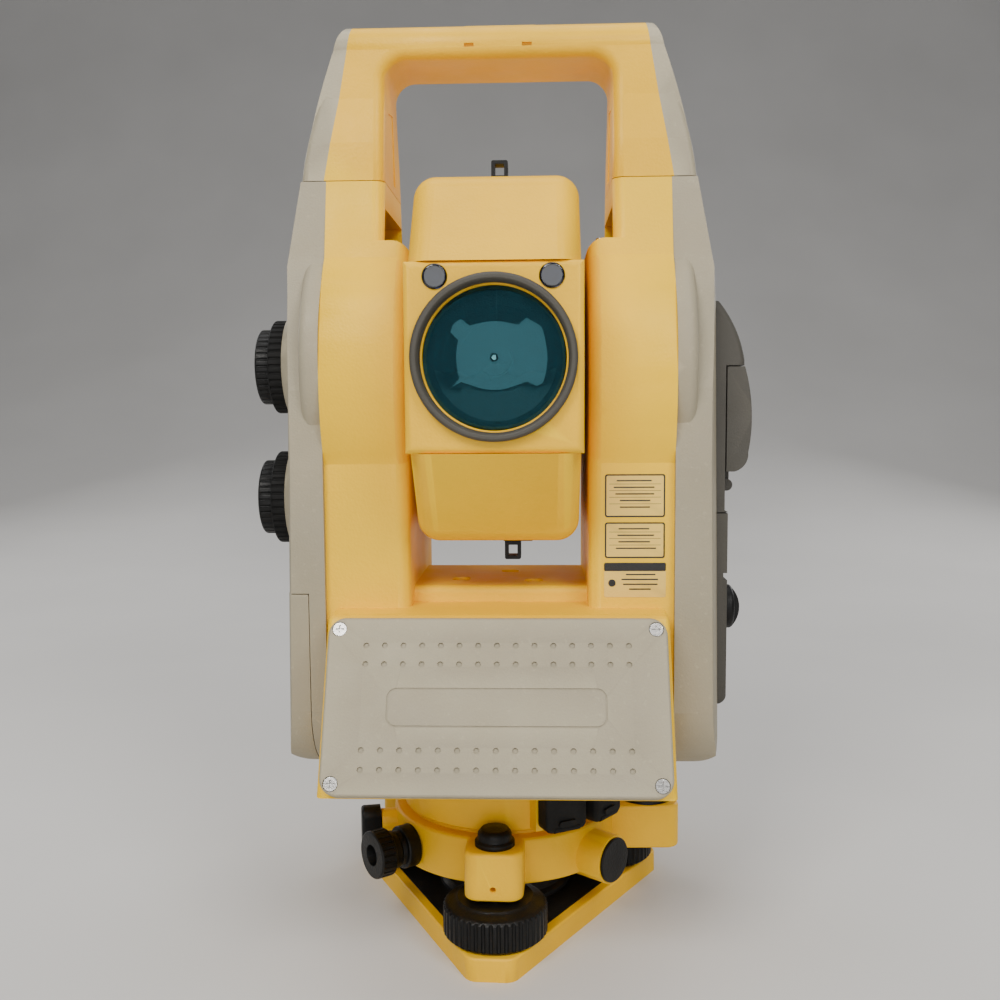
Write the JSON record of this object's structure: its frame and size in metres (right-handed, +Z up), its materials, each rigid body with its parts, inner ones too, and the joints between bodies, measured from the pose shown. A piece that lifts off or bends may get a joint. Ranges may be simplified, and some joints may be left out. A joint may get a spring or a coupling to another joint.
{
  "type": "surveying total station",
  "caption": "Surveying total station: turning yoke with tilting telescope, side covers, carrying handle and display panel, seated on a three-screw tribrach.",
  "frame": {"origin": "centre of the tripod thread on the underside of the base plate", "axes": "+Z up along the vertical axis; the objective faces -Y; the tilting axis is along X"},
  "size_m": [0.212, 0.1904, 0.3861],
  "materials": {
    "yellow_paint": "cast alloy with a finely textured yellow coat",
    "grey_plastic": "moulded warm beige grey, fine texture",
    "dark_grey_plastic": "moulded dark warm grey, fine texture",
    "black_plastic": "moulded black, satin",
    "black_rubber": "soft black rubber",
    "steel": "turned bright steel",
    "black_anodised": "black anodised, matt",
    "clear_glass": "clear glass",
    "coated_glass": "coated optical glass",
    "display_glass": "dark display glass",
    "dark_key": "moulded silicone key",
    "circuit_board": "green laminate"
  },
  "bodies": {
    "root": {"base_plate": "yellow_paint", "spring_plate": "black_anodised"},
    "foot_front": {"foot_knob_front": "black_plastic", "foot_spindle_front": "steel"},
    "foot_right": {"foot_knob_right": "black_plastic", "foot_spindle_right": "steel"},
    "foot_left": {"foot_knob_left": "black_plastic", "foot_spindle_left": "steel"},
    "tribrach": {"tribrach_body": "yellow_paint", "footscrew_caps": "black_plastic", "plummet_fittings": "black_plastic", "circular_vial_cup": "black_plastic", "circular_vial_glass": "clear_glass"},
    "clamp": {"clamp_ring": "steel"},
    "lever": {"lock_lever": "black_plastic"},
    "plummet_focus": {"plummet_eyepiece": "black_plastic"},
    "instrument_base": {"lower_base": "yellow_paint", "centring_pins": "steel", "azimuth_spindle": "steel", "horizontal_circle": "clear_glass", "cable_sockets": "steel"},
    "power_cover": {"power_socket_cover": "black_rubber"},
    "data_cover": {"data_socket_cover": "black_rubber"},
    "alidade": {"yoke": "yellow_paint", "left_side_cover": "grey_plastic", "right_side_cover": "grey_plastic", "handle_frame": "yellow_paint", "handle_covers": "grey_plastic", "front_panel": "grey_plastic", "panel_screws": "steel", "keyboard_housing": "dark_grey_plastic", "display_window": "display_glass", "trunnion_bearings": "steel", "main_board": "circuit_board", "card_housing": "dark_grey_plastic", "side_plate": "dark_grey_plastic"},
    "telescope": {"telescope_body": "yellow_paint", "telescope_top_cover": "yellow_paint", "telescope_bottom_cover": "yellow_paint", "objective_ring": "dark_grey_plastic", "objective_lens": "coated_glass", "lens_barrel": "black_anodised", "guide_lenses": "clear_glass", "open_sights": "black_plastic", "trunnion_axle": "steel", "vertical_circle": "clear_glass"},
    "focus": {"focus_ring": "black_rubber"},
    "eyepiece_body": {"eyepiece": "black_plastic"},
    "vertical_jog": {"vertical_jog_ring": "black_rubber"},
    "vertical_fine": {"vertical_fine_dial": "black_plastic"},
    "horizontal_jog": {"horizontal_jog_ring": "black_rubber"},
    "horizontal_fine": {"horizontal_fine_dial": "black_plastic"},
    "battery": {"battery_pack": "grey_plastic"},
    "latch": {"battery_latch": "black_plastic"},
    "door": {"card_door": "dark_grey_plastic"},
    "lock_knob": {"side_lock_knob": "black_plastic"},
    "power_button": {"power_key": "dark_key"},
    "menu_button": {"menu_key": "dark_key"},
    "escape_button": {"escape_key": "dark_key"},
    "enter_button": {"enter_key": "dark_key"}
  },
  "joints": [
    {"name": "foot_front_turn", "type": "hinge", "parent": "root", "child": "foot_front", "pos_m": [-0.00219, -0.05446, 0.0177], "axis": [0, 0, 1], "range_deg": [-1800, 240]},
    {"name": "foot_right_turn", "type": "hinge", "parent": "root", "child": "foot_right", "pos_m": [0.04825, 0.02533, 0.0177], "axis": [0, 0, 1], "range_deg": [-1800, 240]},
    {"name": "foot_left_turn", "type": "hinge", "parent": "root", "child": "foot_left", "pos_m": [-0.04607, 0.02912, 0.0177], "axis": [0, 0, 1], "range_deg": [-1800, 240]},
    {"name": "tribrach_lift", "type": "slide", "parent": "root", "child": "tribrach", "axis": [0, 0, 1], "range_m": [-0.0005, 0.0037]},
    {"name": "lock_lever_turn", "type": "hinge", "parent": "tribrach", "child": "lever", "pos_m": [-0.05853, -0.01319, 0.038], "axis": [-0.9755, -0.2198, 0], "range_deg": [0, 180]},
    {"name": "clamp_ring_turn", "type": "hinge", "parent": "tribrach", "child": "clamp", "pos_m": [0, 0, 0.03475], "axis": [0, 0, 1], "range_deg": [-0.5, 9.5]},
    {"name": "plummet_focus_turn", "type": "hinge", "parent": "tribrach", "child": "plummet_focus", "pos_m": [-0.05064, -0.03914, 0.036], "axis": [-0.7912, -0.6115, 0], "range_deg": [-180, 180]},
    {"name": "instrument_lift", "type": "slide", "parent": "tribrach", "child": "instrument_base", "axis": [0, 0, 1], "range_m": [0, 0.03]},
    {"name": "power_cover_fold", "type": "hinge", "parent": "instrument_base", "child": "power_cover", "pos_m": [0.0272, -0.05009, 0.0519], "axis": [0.8788, 0.4772, 0], "range_deg": [0, 90]},
    {"name": "data_cover_fold", "type": "hinge", "parent": "instrument_base", "child": "data_cover", "pos_m": [0.04492, -0.03509, 0.0519], "axis": [0.6157, 0.788, 0], "range_deg": [0, 90]},
    {"name": "azimuth_turn", "type": "hinge", "parent": "instrument_base", "child": "alidade", "pos_m": [0, 0, 0.1], "axis": [0, 0, 1], "continuous": true},
    {"name": "elevation_tilt", "type": "hinge", "parent": "alidade", "child": "telescope", "pos_m": [0, 0, 0.243], "axis": [-1, 0, 0], "continuous": true},
    {"name": "focus_ring_turn", "type": "hinge", "parent": "telescope", "child": "focus", "pos_m": [0, 0.066, 0.243], "axis": [0, 1, 0], "range_deg": [-150, 150]},
    {"name": "eyepiece_turn", "type": "hinge", "parent": "telescope", "child": "eyepiece_body", "pos_m": [0, 0.08, 0.243], "axis": [0, 1, 0], "range_deg": [-180, 180]},
    {"name": "vertical_jog_turn", "type": "hinge", "parent": "alidade", "child": "vertical_jog", "pos_m": [-0.098, 0, 0.243], "axis": [-1, 0, 0], "range_deg": [-40, 40], "stiffness_Nm_per_rad": 0.05},
    {"name": "vertical_fine_turn", "type": "hinge", "parent": "alidade", "child": "vertical_fine", "pos_m": [-0.105, 0, 0.243], "axis": [-1, 0, 0], "continuous": true},
    {"name": "horizontal_jog_turn", "type": "hinge", "parent": "alidade", "child": "horizontal_jog", "pos_m": [-0.098, 0, 0.185], "axis": [-1, 0, 0], "range_deg": [-40, 40], "stiffness_Nm_per_rad": 0.05},
    {"name": "horizontal_fine_turn", "type": "hinge", "parent": "alidade", "child": "horizontal_fine", "pos_m": [-0.105, 0, 0.185], "axis": [-1, 0, 0], "continuous": true},
    {"name": "battery_slide", "type": "slide", "parent": "alidade", "child": "battery", "axis": [-1, 0, 0], "range_m": [0, 0.04]},
    {"name": "battery_latch_slide", "type": "slide", "parent": "alidade", "child": "latch", "axis": [0, 0, 1], "range_m": [0, 0.003], "stiffness_N_per_m": 300},
    {"name": "card_door_turn", "type": "hinge", "parent": "alidade", "child": "door", "pos_m": [0.0974, 0, 0.1905], "axis": [0, 1, 0], "range_deg": [0, 110]},
    {"name": "side_lock_turn", "type": "hinge", "parent": "alidade", "child": "lock_knob", "pos_m": [0.103, 0, 0.135], "axis": [1, 0, 0], "range_deg": [0, 90]},
    {"name": "power_key_press", "type": "slide", "parent": "alidade", "child": "power_button", "axis": [0, -0.9041, -0.4274], "range_m": [0, 0.0009], "stiffness_N_per_m": 400},
    {"name": "menu_key_press", "type": "slide", "parent": "alidade", "child": "menu_button", "axis": [0, -0.9041, -0.4274], "range_m": [0, 0.0009], "stiffness_N_per_m": 400},
    {"name": "escape_key_press", "type": "slide", "parent": "alidade", "child": "escape_button", "axis": [0, -0.9041, -0.4274], "range_m": [0, 0.0009], "stiffness_N_per_m": 400},
    {"name": "enter_key_press", "type": "slide", "parent": "alidade", "child": "enter_button", "axis": [0, -0.9041, -0.4274], "range_m": [0, 0.0009], "stiffness_N_per_m": 400}
  ],
  "couplings": [
    {"joint": "foot_front_turn", "follows": "tribrach_lift", "rad_per_m": -8377.6},
    {"joint": "foot_right_turn", "follows": "tribrach_lift", "rad_per_m": -8377.6},
    {"joint": "foot_left_turn", "follows": "tribrach_lift", "rad_per_m": -8377.6},
    {"joint": "clamp_ring_turn", "follows": "lock_lever_turn", "ratio": 0.05}
  ]
}
